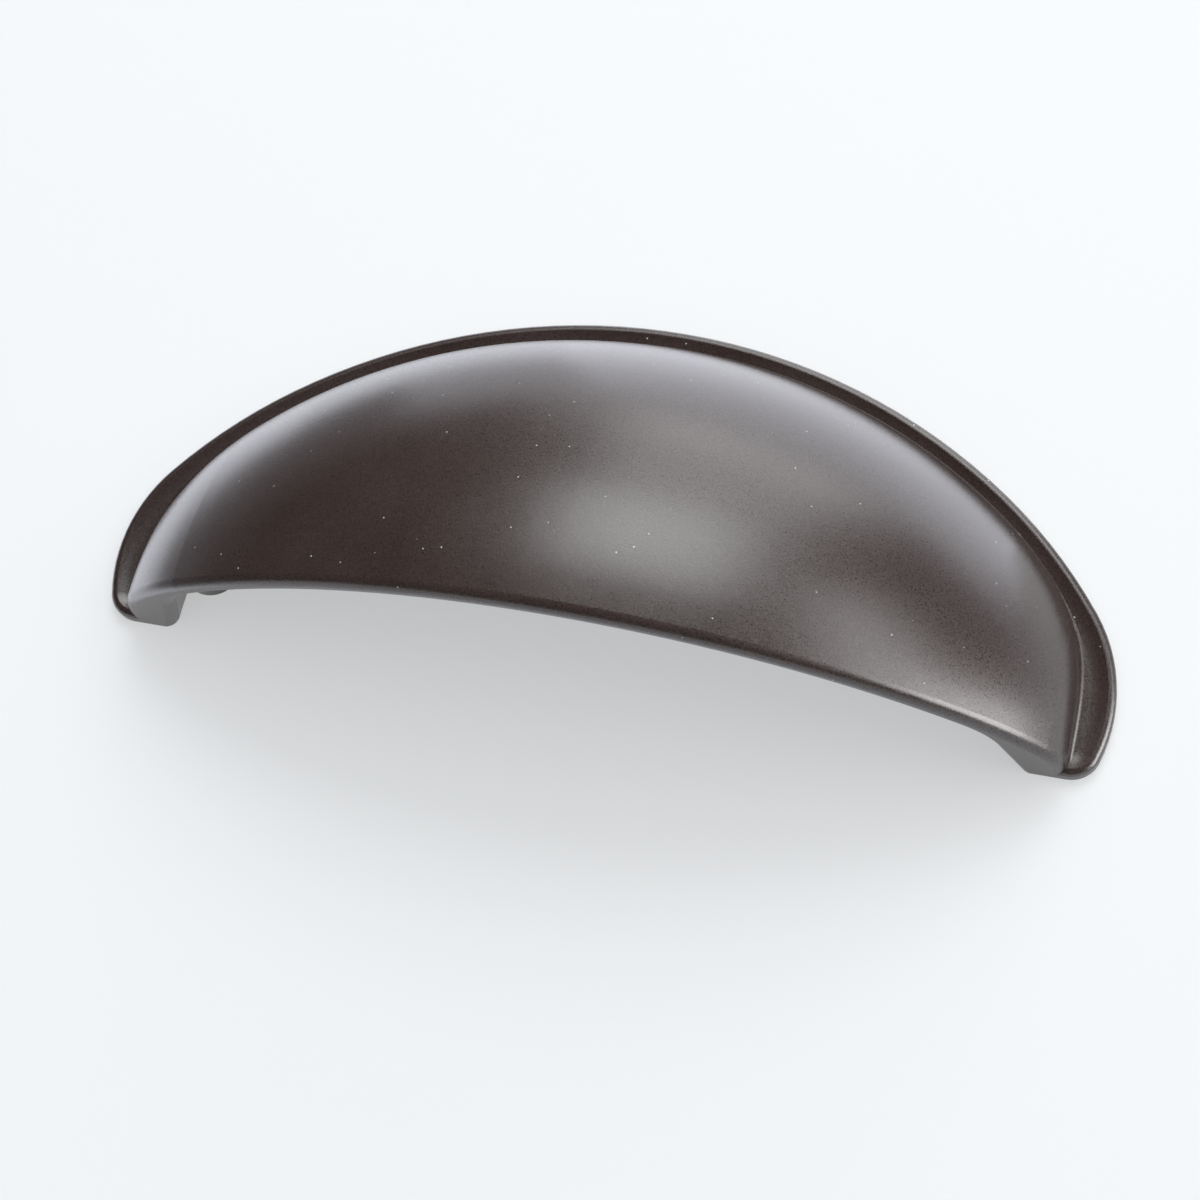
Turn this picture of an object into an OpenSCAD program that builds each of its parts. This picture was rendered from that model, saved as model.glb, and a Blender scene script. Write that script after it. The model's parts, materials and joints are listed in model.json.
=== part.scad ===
// Cup pull: a cast drawer handle with a domed cup, an out-turned flange and two screw posts.
// X runs along the pull, +Y to the crown of the flange, -Y out of the mouth, +Z out from the drawer.
// The back lies on z = 0, and the origin is midway between the two screw holes.

/* [Flange outline] */
// Distance from each screw hole to the tip beside it
end_out = 9.4; // [9:0.1:10]
// Height of the flange from its front line to its crown
pull_h = 36.6; // [36.2:0.1:37.2]
// Radius of the side arcs
side_r = 15.1; // [14.4:0.1:15.8]
// Radius of the corner at each tip
tip_r = 2.7; // [2.4:0.1:3.4]

/* [Flange section] */
// Thickness of the flange at its rim
rim_h = 1.4; // [1.3:0.1:1.5]
// Rounding of the outer edge of the rim
rim_r = 0.6; // [0.4:0.1:0.7]
// Distance from the outer edge to the deepest line of the cove
cove_in = 2.2; // [2.1:0.1:2.5]
// Radius of the cove inside the rim
cove_r = 3; // [2.6:0.1:3.4]
// Thickness of the flange under the cove
floor_h = 1; // [0.9:0.1:1.1]

/* [Dome] */
// Height of the dome at the middle of the lip
rise = 24.8; // [24:0.1:25.6]
// Width of the flange beside each foot of the dome
side_w = 3.2; // [2.9:0.1:3.6]
// Height of the upright foot of the dome under its shoulders
foot_h = 1.5; // [1:0.1:2]
// Radius of the shoulders
shoulder_r = 8.1; // [7.4:0.1:8.8]
// Depth behind the back of the axis that the dome is turned about
axis_drop = 11.2; // [10.4:0.1:12]
// Thickness of the wall
wall = 2.2; // [1.8:0.1:2.6]
// Rounding along the outer edge of the lip
lip_r = 1; // [0.5:0.1:1.2]
// Rounding along the inner edge of the lip and the feet
edge_r = 1.2; // [0.6:0.1:1.4]
// Width of each foot of the dome at the back
foot_w = 4.3; // [3.9:0.1:4.6]

/* [Screw posts] */
// Distance between the two screw holes
hole_pitch = 76.2; // [75:0.1:77]
// Distance of the screw holes from the front line
post_in = 6.6; // [6:0.1:7.4]
// Diameter of each post
post_d = 5.8; // [5.2:0.1:6.6]
// Diameter of each screw hole
hole_d = 3.3; // [2.5:0.1:3.6]
// Depth of each screw hole
hole_depth = 5; // [3:0.1:5.4]

/* [Hidden] */
$fn = 96;
// How far cutters and overlaps run past a face
over = 1;
// Reach of the wedges that bound an arc
reach = 100;
// Directions in which one arc meets the next, from its centre
near = [0.6, 0.8];
far = [0.8, 0.6];
low = [0.96, -0.28];
steep = [0.96, 0.28];
// Length of the pull from tip to tip
pull_w = hole_pitch + 2 * end_out;
// Radii of the crown of the flange and its haunches, which follow from length and height
crown_r = 2.5 * (pull_w / 2 - pull_h + 0.68 * side_r + 0.72 * tip_r);
haunch_r = 5 * (pull_h - 0.88 * side_r - 0.72 * tip_r) - crown_r;
// Centres of the flange arcs
crown_c = [0, pull_h - crown_r];
haunch_c = crown_c + (crown_r - haunch_r) * near;
side_c = haunch_c + (haunch_r - side_r) * far;
tip_c = side_c + (side_r - tip_r) * low;
// Depth of the flange pieces, which end inside the wall or in the mouth
flange_in = 5;
// Radii of the arch of the mouth and its haunches, which follow from rise and width
dome_half = pull_w / 2 - side_w;
arch_r = 2.5 * (dome_half - rise + foot_h) + shoulder_r;
spring_r = 7.5 * (rise - foot_h) - 2.5 * dome_half - 4 * shoulder_r;
// Centres of the arcs of the mouth, in X and Z
arch_c = [0, rise - arch_r];
spring_c = arch_c + (arch_r - spring_r) * near;
shoulder_c = spring_c + (spring_r - shoulder_r) * far;
// Half the width of the mouth at the back, and the knee between its arch and its leaning sides
mouth_half = dome_half - foot_w;
knee_from = arch_c + (arch_r - wall) * near;
knee_r = 4.8 * (mouth_half - knee_from[0]) - 1.4 * knee_from[1];
knee_c = knee_from - knee_r * near;
knee_to = knee_c + knee_r * steep;

// Direction d seen in a mirror across the middle of the pull
function across(d) = [-d[0], d[1]];

// Quarter disc in the corner between +X and +Y
module quarter(r) {
    intersection() {
        circle(r);
        square(r);
    }
}

// Sector about the centre c between two directions
module wedge(c, from, to) {
    polygon([c, c + reach * from, c + reach * (from + to), c + reach * to]);
}

// Section of the flange for an arc of radius r, as deep as d
module flange_section(r, d) {
    difference() {
        union() {
            translate([r - d, 0]) square([d, rim_h - rim_r]);
            translate([r - d, 0]) square([d - rim_r, rim_h]);
            translate([r - rim_r, rim_h - rim_r]) quarter(rim_r);
        }
        translate([r - cove_in, floor_h + cove_r]) intersection() {
            circle(cove_r);
            translate([0, -cove_r]) square([cove_r, 2 * cove_r]);
        }
        translate([r - d - over, floor_h]) square([d + over - cove_in, rim_h]);
    }
}

// Piece of the flange about the centre c, between two directions
module flange_arc(c, r, d, from, to) {
    intersection() {
        translate(c) rotate_extrude() flange_section(r, d);
        translate([0, 0, -over]) linear_extrude(rim_h + 2 * over) wedge(c, from, to);
    }
}

// One side of the flange, from the crown arc to the foot of the dome
module flange_side() {
    flange_arc(haunch_c, haunch_r, flange_in, near, far);
    flange_arc(side_c, side_r, flange_in, far, low);
    flange_arc(tip_c, tip_r, tip_r, low, [0, -1]);
    translate([dome_half - over, tip_r, 0])
        rotate([90, 0, 90])
            linear_extrude(max(tip_c[0] - dome_half + over, over / 2))
                mirror([1, 0]) flange_section(tip_r, tip_r);
}

module flange() {
    flange_arc(crown_c, crown_r, flange_in, across(near), near);
    flange_side();
    mirror([1, 0, 0]) flange_side();
}

// One side of the outer form of the mouth in X and Z, drawn in by inset
module arch_side(inset) {
    x1 = (arch_r - inset) * near[0];
    x2 = spring_c[0] + (spring_r - inset) * far[0];
    intersection() {
        translate(spring_c) circle(spring_r - inset);
        translate([x1, -over]) square([x2 - x1, rise + over]);
    }
    intersection() {
        translate(shoulder_c) circle(shoulder_r - inset);
        translate([x2, foot_h]) square(shoulder_r);
    }
}

// Outer form of the mouth in X and Z, drawn in by inset
module arch(inset) {
    x1 = (arch_r - inset) * near[0];
    intersection() {
        translate(arch_c) circle(arch_r - inset);
        translate([-x1, -over]) square([2 * x1, rise + 2 * over]);
    }
    arch_side(inset);
    mirror([1, 0]) arch_side(inset);
    translate([inset - dome_half, -over]) square([2 * (dome_half - inset), foot_h + over]);
}

// One side of the inner form of the mouth in X and Z, beyond its arch
module mouth_side() {
    foot = [mouth_half + over * steep[1] / steep[0], -over];
    polygon([[knee_from[0], -over], foot, knee_to, [knee_from[0], knee_to[1]]]);
    intersection() {
        translate(knee_c) circle(knee_r);
        translate([knee_from[0], knee_to[1]]) square([knee_to[0] - knee_from[0], rise]);
    }
}

// Inner form of the mouth in X and Z
module mouth() {
    intersection() {
        translate(arch_c) circle(arch_r - wall);
        translate([-knee_from[0], -over]) square([2 * knee_from[0], rise + over]);
    }
    mouth_side();
    mirror([1, 0]) mouth_side();
}

// Turns a form of the mouth back from the lip, about the axis behind the back
module turned() {
    translate([0, lip_r, -axis_drop])
        rotate([0, 90, 0])
            rotate([0, 0, 90])
                rotate_extrude(angle = 90)
                    translate([axis_drop, 0]) mirror([1, -1]) children();
}

// Runs a form of the mouth forward from the plane y
module forward(y, len) {
    translate([0, y, 0]) rotate([90, 0, 0]) linear_extrude(len) children();
}

// Rounded front edge of the lip, for an arc of radius r
module lip_section(r) {
    translate([r - lip_r - over / 2, 0]) square([over / 2, lip_r]);
    translate([r - lip_r, 0]) quarter(lip_r);
}

// Piece of that edge about the centre c, between two directions
module lip_arc(c, r, from, to) {
    intersection() {
        translate([c[0], lip_r, c[1]]) rotate([90, 0, 0]) rotate_extrude() lip_section(r);
        forward(lip_r + over, lip_r + 2 * over) wedge(c, from, to);
    }
}

module lip_side() {
    lip_arc(spring_c, spring_r, near, far);
    lip_arc(shoulder_c, shoulder_r, far, [1, 0]);
    translate([0, lip_r, -over])
        linear_extrude(foot_h + over) mirror([0, 1]) lip_section(dome_half);
}

// Front strip of the dome, with its outer edge rounded over
module lip() {
    forward(lip_r, lip_r) arch(lip_r);
    lip_arc(arch_c, arch_r, across(near), near);
    lip_side();
    mirror([1, 0, 0]) lip_side();
}

// What is rounded off the inner edge, for an arc of radius r
module edge_section(r) {
    difference() {
        translate([r - over / 2, edge_r / 5]) square([over / 2 + 0.8 * edge_r, edge_r + over]);
        translate([r + edge_r, 0]) circle(edge_r);
    }
}

// Piece of that rounding about the centre c, between two directions
module edge_arc(c, r, from, to) {
    intersection() {
        translate([c[0], edge_r, c[1]]) rotate([90, 0, 0]) rotate_extrude() edge_section(r);
        forward(edge_r + over, edge_r + 3 * over) wedge(c, from, to);
    }
}

module edge_side() {
    edge_arc(knee_c, knee_r, near, steep);
    multmatrix([[steep[0], 0, steep[1], knee_to[0]], [0, -1, 0, edge_r],
            [steep[1], 0, -steep[0], knee_to[1]]])
        linear_extrude(knee_to[1] + 2 * over) edge_section(0);
}

// Rounding along the whole inner edge
module edge() {
    edge_arc(arch_c, arch_r - wall, across(near), near);
    edge_side();
    mirror([1, 0, 0]) edge_side();
}

// Solid dome over the back, before the mouth is hollowed
module dome() {
    intersection() {
        union() {
            turned() arch(0);
            lip();
        }
        translate([-pull_w, -over, 0]) cube([2 * pull_w, 2 * pull_h, 2 * rise]);
    }
}

module at_holes() {
    for (s = [-1, 1])
        translate([s * hole_pitch / 2, post_in, -over]) children();
}

module cup_pull() {
    color([0.24, 0.19, 0.17])
        translate([0, -post_in, 0])
            difference() {
                union() {
                    dome();
                    flange();
                }
                difference() {
                    union() {
                        turned() mouth();
                        forward(lip_r, lip_r + over) mouth();
                        edge();
                    }
                    at_holes() cylinder(d = post_d, h = rise);
                }
                at_holes() cylinder(d = hole_d, h = hole_depth + over);
            }
}

cup_pull();
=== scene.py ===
import json
import math

import bpy
from mathutils import Matrix, Vector

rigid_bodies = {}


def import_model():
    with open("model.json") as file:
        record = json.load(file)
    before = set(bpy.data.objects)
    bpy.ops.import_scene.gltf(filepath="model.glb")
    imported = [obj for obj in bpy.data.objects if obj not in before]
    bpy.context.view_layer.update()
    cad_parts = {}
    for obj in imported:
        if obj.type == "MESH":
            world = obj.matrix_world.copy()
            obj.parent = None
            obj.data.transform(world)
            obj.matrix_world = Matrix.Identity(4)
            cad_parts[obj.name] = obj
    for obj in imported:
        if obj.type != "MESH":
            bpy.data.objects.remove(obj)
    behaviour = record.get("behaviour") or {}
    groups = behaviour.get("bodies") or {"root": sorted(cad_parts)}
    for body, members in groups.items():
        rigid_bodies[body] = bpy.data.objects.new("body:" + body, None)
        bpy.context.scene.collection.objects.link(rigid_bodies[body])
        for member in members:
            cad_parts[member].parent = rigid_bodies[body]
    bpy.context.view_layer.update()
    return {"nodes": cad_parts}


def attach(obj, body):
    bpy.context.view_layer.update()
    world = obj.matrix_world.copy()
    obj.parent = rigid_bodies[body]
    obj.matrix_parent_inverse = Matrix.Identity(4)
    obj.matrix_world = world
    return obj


# The scene starts empty, however Blender was opened.
for old in list(bpy.data.objects):
    bpy.data.objects.remove(old)
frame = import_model()

MM = 0.001
WHITE = (1.0, 1.0, 1.0)

# Camera, fitted to the photograph: place in metres, the three axes of its view, focal length.
CAM_PLACE = Vector((0.0610180, -0.0732341, 0.2415692))
CAM_RIGHT = Vector((0.959422, 0.221762, -0.174157))
CAM_UP = Vector((-0.154705, 0.930361, 0.332407))
CAM_AHEAD = Vector((-0.235745, 0.291976, -0.926917))
CAM_LENS = 84.7264
CAM_SENSOR = 36.0
CAM_NEAR = 0.01

# Light panels: azimuth from +Y towards +X, elevation and half angles across and up, in degrees,
# then radiance, colour, and whether it lights the matt and the glossy part of surfaces.
PANEL_FAR = 1.0
PANEL_AIM = Vector((0.0, 0.013, 0.01))
PANELS = {
    "panel_back": (2.0, 49.0, 16.0, 14.0, 4.6, (0.96, 0.99, 0.985), True, True),
    "panel_back_low": (6.0, 17.0, 17.0, 16.0, 2.1, (0.97, 0.985, 1.0), True, True),
    "panel_right": (93.0, 16.0, 21.0, 17.0, 7.6, WHITE, False, True),
    "panel_right_high": (72.0, 39.0, 25.0, 9.5, 3.0, WHITE, True, True),
    "panel_top": (0.0, 90.0, 50.0, 50.0, 0.77, (0.95, 0.99, 1.04), True, False),
}

# Cards on the floor, in gloss alone: azimuths, near and far edge in sizes of the oval round the
# pull, radiance.
CARD_OVAL = (0.0475, 0.0345)
CARD_MIDDLE = (0.0, -0.0045)
CARD_Z = 0.0004
CARD_COLOUR = (0.95, 0.985, 1.07)
CARDS = {
    "card_near_left": (-125.0, -45.0, 1.02, 1.5, 2.0),
    "card_near_mid": (-45.0, -12.0, 1.02, 1.4, 1.9),
    "card_near_back": (-12.0, 52.0, 1.02, 1.6, 2.05),
    "card_far_left": (-125.0, -30.0, 1.5, 8.0, 0.2),
    "card_far_mid": (-30.0, -10.0, 1.5, 6.0, 1.15),
    "card_far_back": (-10.0, 44.0, 1.6, 5.0, 1.85),
    "card_right": (44.0, 70.0, 1.6, 6.0, 0.6),
    "card_front": (110.0, 250.0, 0.12, 1.5, 1.0),
}

# Dark flags that stand between the pull and the backdrop, in gloss alone: azimuths.
FLAG_FAR = 0.45
FLAG_TOP = 0.11
FLAGS = {
    "flag_left": (-130.0, -20.0),
    "flag_right": (28.0, 72.0),
}

# Steps along a card or flag, and the rays that don't see them.
SWEEP_STEPS = 24
GLOSS_ONLY = ("camera", "diffuse", "shadow", "transmission", "volume_scatter")

# Floor, wall round it and room: sizes in metres, the pale colour that is seen, the share of it that
# takes light and shadow, the grey that lights the pull from below, and the strength of the room.
FLOOR_HALF = 4.0
FLOOR_Z = -0.0001
FLOOR_SEEN = (0.922, 0.932, 0.938)
FLOOR_LIT = 0.53
FLOOR_GREY = (0.8, 0.8, 0.8)
WALL_TOP = 0.85
WALL_STEPS = 64
ROOM = 0.04

# Coat: colours in linear light, pattern scales per metre, depth of the grain in metres, and what
# the grain's span drives from its low to its high end.
COAT_DARK = (0.033, 0.019, 0.016)
COAT_LIGHT = (0.044, 0.028, 0.025)
COAT_IOR = 1.5
NOISE_DETAIL = 2.0
NOISE_SPAN = (0.3, 0.7)
CLOUD = 90.0
GRAIN = 6500.0
GRAIN_DEEP = 0.000008
ROUGH = (0.26, 0.36)
SHINE = (0.78, 1.18)
SPECKLE = (0.72, 1.4)
DUST = 560.0
DUST_SIZE = (0.03, 0.05)
DUST_COLOUR = (0.6, 0.6, 0.6)

# Crease between dome and flange, as in the part, in millimetres: arcs of the arch of the mouth
# (centre, radius, angles from the crown), then the fillet that lies in the crease.
ARCH = (
    ((0.0, -35.8), 60.6, 0.0, math.asin(0.6)),
    ((17.4, -12.6), 31.6, math.asin(0.6), math.asin(0.8)),
    ((36.2, 1.5), 8.1, math.asin(0.8), math.pi / 2),
)
ARCH_STEP = 0.4
ARC_STEPS_MIN = 6
FOOT_STEPS = 8
AXIS_DROP = 11.2
LIP_Y = -5.6
FLANGE_TOP = 1.0
FILLET_R = 0.45
FILLET_STEPS = 6
FILLET_ROOT = 0.05
FILLET_SHARP = 40.0


def link(tree, a, b):
    tree.links.new(a, b)


def add(tree, kind, **values):
    """New shader node with its properties set."""
    n = tree.nodes.new(kind)
    for k, v in values.items():
        setattr(n, k, v)
    return n


def in_scene(name, data):
    """New object, linked to the scene."""
    obj = bpy.data.objects.new(name, data)
    bpy.context.scene.collection.objects.link(obj)
    return obj


def sheet(name, verts, faces, material):
    """New object from points and faces, of one material."""
    mesh = bpy.data.meshes.new(name)
    mesh.from_pydata(verts, [], faces)
    mesh.materials.append(material)
    return in_scene(name, mesh)


def hide_from(obj, rays):
    for ray in rays:
        setattr(obj, "visible_" + ray, False)


def empty_material(name):
    """New material without nodes, and its tree."""
    mat = bpy.data.materials.new(name)
    mat.use_nodes = True
    mat.node_tree.nodes.clear()
    return mat, mat.node_tree


def seen_directly(tree):
    """1 for camera, glossy and transmission rays, 0 for the rest."""
    path = add(tree, "ShaderNodeLightPath")
    a = add(tree, "ShaderNodeMath", operation="MAXIMUM")
    b = add(tree, "ShaderNodeMath", operation="MAXIMUM")
    link(tree, path.outputs["Is Camera Ray"], a.inputs[0])
    link(tree, path.outputs["Is Glossy Ray"], a.inputs[1])
    link(tree, a.outputs[0], b.inputs[0])
    link(tree, path.outputs["Is Transmission Ray"], b.inputs[1])
    return b.outputs[0]


def emission(tree, colour, strength):
    glow = add(tree, "ShaderNodeEmission")
    glow.inputs["Color"].default_value = (*colour, 1)
    glow.inputs["Strength"].default_value = strength
    return glow.outputs[0]


def diffuse(tree, colour):
    matt = add(tree, "ShaderNodeBsdfDiffuse")
    matt.inputs["Color"].default_value = (*colour, 1)
    return matt.outputs[0]


def glowing(name, colour, strength):
    """Material that only gives light."""
    mat, t = empty_material(name)
    link(t, emission(t, colour, strength), add(t, "ShaderNodeOutputMaterial").inputs[0])
    return mat


def set_camera():
    cam = in_scene("camera", bpy.data.cameras.new("camera"))
    turn = Matrix((CAM_RIGHT, CAM_UP, -CAM_AHEAD)).transposed()
    cam.matrix_world = Matrix.Translation(CAM_PLACE) @ turn.to_4x4()
    cam.data.sensor_width = CAM_SENSOR
    cam.data.lens = CAM_LENS
    cam.data.clip_start = CAM_NEAR
    bpy.context.scene.camera = cam


def floor_material():
    """Pale where it is seen, part glow and part lit so that it keeps the shadow; grey otherwise."""
    mat, t = empty_material("floor")
    both = add(t, "ShaderNodeAddShader")
    link(t, diffuse(t, [c * FLOOR_LIT for c in FLOOR_SEEN]), both.inputs[0])
    link(t, emission(t, FLOOR_SEEN, 1 - FLOOR_LIT), both.inputs[1])
    mix = add(t, "ShaderNodeMixShader")
    link(t, seen_directly(t), mix.inputs[0])
    link(t, diffuse(t, FLOOR_GREY), mix.inputs[1])
    link(t, both.outputs[0], mix.inputs[2])
    link(t, mix.outputs[0], add(t, "ShaderNodeOutputMaterial").inputs[0])
    mat.cycles.emission_sampling = "NONE"
    return mat


def set_floor():
    corners = ((-1, -1), (1, -1), (1, 1), (-1, 1))
    verts = [(x * FLOOR_HALF, y * FLOOR_HALF, FLOOR_Z) for x, y in corners]
    floor = sheet("floor", verts, [(0, 1, 2, 3)], floor_material())


def upright(angles, far, low, top):
    """Points of an upright band at a distance from the middle, low and high in turn."""
    verts = []
    for a in angles:
        x, y = far * math.sin(a), far * math.cos(a)
        verts += [(x, y, low), (x, y, top)]
    return verts


def upright_faces(steps, count):
    """Faces of such a band, which closes where the last step comes back to the first point."""
    return [(2 * k, 2 * k + 1, (2 * k + 3) % count, (2 * k + 2) % count) for k in range(steps)]


def set_backdrop():
    """Low pale wall round the floor, which fills the view behind the pull from low down."""
    angles = [2 * math.pi * k / WALL_STEPS for k in range(WALL_STEPS)]
    verts = upright(angles, FLOOR_HALF, FLOOR_Z, WALL_TOP)
    faces = upright_faces(WALL_STEPS, len(verts))
    wall = sheet("backdrop", verts, faces, glowing("backdrop", FLOOR_SEEN, 1.0))
    hide_from(wall, ("diffuse", "shadow"))


def set_world():
    world = bpy.data.worlds.new("room")
    bpy.context.scene.world = world
    world.use_nodes = True
    back = world.node_tree.nodes["Background"]
    back.inputs["Color"].default_value = (*WHITE, 1)
    back.inputs["Strength"].default_value = ROOM


def set_panel(name, az, el, half_w, half_h, radiance, colour, matt, glossy):
    """Area lamp that faces the pull, with the energy that gives its radiance."""
    a, e = math.radians(az), math.radians(el)
    out = Vector((math.sin(a) * math.cos(e), math.cos(a) * math.cos(e), math.sin(e)))
    lamp = bpy.data.lights.new(name, "AREA")
    lamp.shape = "RECTANGLE"
    lamp.size = 2 * PANEL_FAR * math.tan(math.radians(half_w))
    lamp.size_y = 2 * PANEL_FAR * math.tan(math.radians(half_h))
    lamp.energy = radiance * math.pi * lamp.size * lamp.size_y
    lamp.color = colour
    obj = in_scene(name, lamp)
    obj.location = out * PANEL_FAR + PANEL_AIM
    obj.rotation_mode = "QUATERNION"
    obj.rotation_quaternion = (-out).to_track_quat("-Z", "Y")
    obj.visible_camera = False
    obj.visible_diffuse = matt
    obj.visible_glossy = glossy


def sweep(az_from, az_to):
    """Angles from one azimuth to another, in radians."""
    return [math.radians(az_from + (az_to - az_from) * k / SWEEP_STEPS)
            for k in range(SWEEP_STEPS + 1)]


def set_card(name, az_from, az_to, near, far, radiance):
    """Piece of an oval ring on the floor, which shows in gloss as the lit table does."""
    verts = []
    for a in sweep(az_from, az_to):
        for size in (near, far):
            verts.append((CARD_MIDDLE[0] + size * CARD_OVAL[0] * math.sin(a),
                          CARD_MIDDLE[1] + size * CARD_OVAL[1] * math.cos(a), CARD_Z))
    faces = [(2 * k, 2 * k + 2, 2 * k + 3, 2 * k + 1) for k in range(SWEEP_STEPS)]
    card = sheet(name, verts, faces, glowing(name, CARD_COLOUR, radiance))
    hide_from(card, GLOSS_ONLY)


def set_flag(name, az_from, az_to):
    """Dark upright band, which hides the wall behind it in gloss."""
    verts = upright(sweep(az_from, az_to), FLAG_FAR, CARD_Z, FLAG_TOP)
    faces = upright_faces(SWEEP_STEPS, len(verts))
    flag = sheet(name, verts, faces, glowing(name, WHITE, ROOM))
    hide_from(flag, GLOSS_ONLY)


def noise(tree, place, scale):
    n = add(tree, "ShaderNodeTexNoise")
    n.inputs["Scale"].default_value = scale
    n.inputs["Detail"].default_value = NOISE_DETAIL
    link(tree, place, n.inputs["Vector"])
    return n.outputs["Fac"]


def spread(tree, value, span, to):
    """Value mapped from one span to another."""
    n = add(tree, "ShaderNodeMapRange")
    for k, v in zip(("From Min", "From Max", "To Min", "To Max"), (*span, *to)):
        n.inputs[k].default_value = v
    link(tree, value, n.inputs["Value"])
    return n.outputs["Result"]


def mixed(tree, fac, a, b):
    """Colour between a and b, each a colour or a socket."""
    n = add(tree, "ShaderNodeMix", data_type="RGBA")
    link(tree, fac, n.inputs["Factor"])
    for socket, c in ((n.inputs["A"], a), (n.inputs["B"], b)):
        if isinstance(c, tuple):
            socket.default_value = (*c, 1)
        else:
            link(tree, c, socket)
    return n.outputs["Result"]


def times(tree, colour, factor):
    """Colour multiplied by a value."""
    n = add(tree, "ShaderNodeMix", data_type="RGBA", blend_type="MULTIPLY")
    n.inputs["Factor"].default_value = 1.0
    link(tree, colour, n.inputs["A"])
    link(tree, factor, n.inputs["B"])
    return n.outputs["Result"]


def coat_material():
    """Satin dark bronze coat: clouded colour, fine sprayed grain and a little dust."""
    mat = bpy.data.materials.new("bronze_coat")
    mat.use_nodes = True
    t = mat.node_tree
    bsdf = t.nodes["Principled BSDF"]
    bsdf.inputs["IOR"].default_value = COAT_IOR
    place = add(t, "ShaderNodeTexCoord").outputs["Object"]
    cloud = noise(t, place, CLOUD)
    grain = noise(t, place, GRAIN)
    colour = mixed(t, spread(t, cloud, NOISE_SPAN, (0.0, 1.0)), COAT_DARK, COAT_LIGHT)
    colour = times(t, colour, spread(t, grain, NOISE_SPAN, SPECKLE))
    dust = add(t, "ShaderNodeTexVoronoi")
    dust.inputs["Scale"].default_value = DUST
    link(t, place, dust.inputs["Vector"])
    speck = spread(t, dust.outputs["Distance"], DUST_SIZE, (1.0, 0.0))
    link(t, mixed(t, speck, colour, DUST_COLOUR), bsdf.inputs["Base Color"])
    link(t, spread(t, grain, NOISE_SPAN, ROUGH), bsdf.inputs["Roughness"])
    link(t, spread(t, grain, NOISE_SPAN, SHINE), bsdf.inputs["Specular IOR Level"])
    bump = add(t, "ShaderNodeBump")
    bump.inputs["Distance"].default_value = GRAIN_DEEP
    link(t, grain, bump.inputs["Height"])
    link(t, bump.outputs[0], bsdf.inputs["Normal"])
    return mat


def arch_points():
    """Right half of the arch, crown to foot: x, height over the dome's axis, and the normal."""
    out = []
    for (mid_x, mid_h), r, a_from, a_to in ARCH:
        steps = max(ARC_STEPS_MIN, round(r * (a_to - a_from) / ARCH_STEP))
        for k in range(steps + 1):
            a = a_from + (a_to - a_from) * k / steps
            sn, cs = math.sin(a), math.cos(a)
            out.append((mid_x + r * sn, mid_h + r * cs + AXIS_DROP, sn, cs))
    x, top = out[-1][:2]
    for k in range(1, FOOT_STEPS + 1):
        out.append((x, top + (FLANGE_TOP + AXIS_DROP - top) * k / FOOT_STEPS, 1.0, 0.0))
    return out


def crease_line():
    """Points of the crease from foot to foot, each with the normal of the dome there."""
    half = []
    for x, h, nx, nh in arch_points():
        cs = min(1.0, (FLANGE_TOP + AXIS_DROP) / h)
        sn = math.sqrt(1 - cs * cs)
        half.append((Vector((x, LIP_Y + h * sn, FLANGE_TOP)), Vector((nx, nh * sn, nh * cs))))
    across = [(Vector((-q.x, q.y, q.z)), Vector((-n.x, n.y, n.z))) for q, n in half[:0:-1]]
    return across + half


def set_fillet(material):
    """Small cast fillet in the crease between dome and flange: a closed strip."""
    line = crease_line()
    verts, faces = [], []
    ring = FILLET_STEPS + 2
    up = Vector((0, 0, 1))
    for q, n in line:
        side = Vector((n.x, n.y, 0)).normalized()
        turn = math.acos(max(-1.0, min(1.0, n.z)))
        reach = FILLET_R * math.tan(turn / 2)
        middle = q + side * reach + up * FILLET_R
        for k in range(FILLET_STEPS + 1):
            a = turn * k / FILLET_STEPS
            verts.append(middle - FILLET_R * (math.cos(a) * up + math.sin(a) * side))
        verts.append(q - FILLET_ROOT * (side + up))
    for i in range(len(line) - 1):
        for k in range(ring):
            a, b = i * ring + k, i * ring + (k + 1) % ring
            faces.append((a, b, b + ring, a + ring))
    faces.append(tuple(range(ring))[::-1])
    faces.append(tuple(len(verts) - ring + k for k in range(ring)))
    piece = sheet("crease_fillet", [v * MM for v in verts], faces, material)
    for face in piece.data.polygons:
        face.use_smooth = True
    piece.data.set_sharp_from_angle(angle=math.radians(FILLET_SHARP))
    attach(piece, "root")


set_camera()
set_floor()
set_backdrop()
set_world()
for name, values in PANELS.items():
    set_panel(name, *values)
for name, values in CARDS.items():
    set_card(name, *values)
for name, values in FLAGS.items():
    set_flag(name, *values)
node = frame["nodes"]["cup_pull"]
coat = coat_material()
node.material_slots[0].material = coat
set_fillet(coat)
bpy.context.scene.view_settings.view_transform = "Standard"
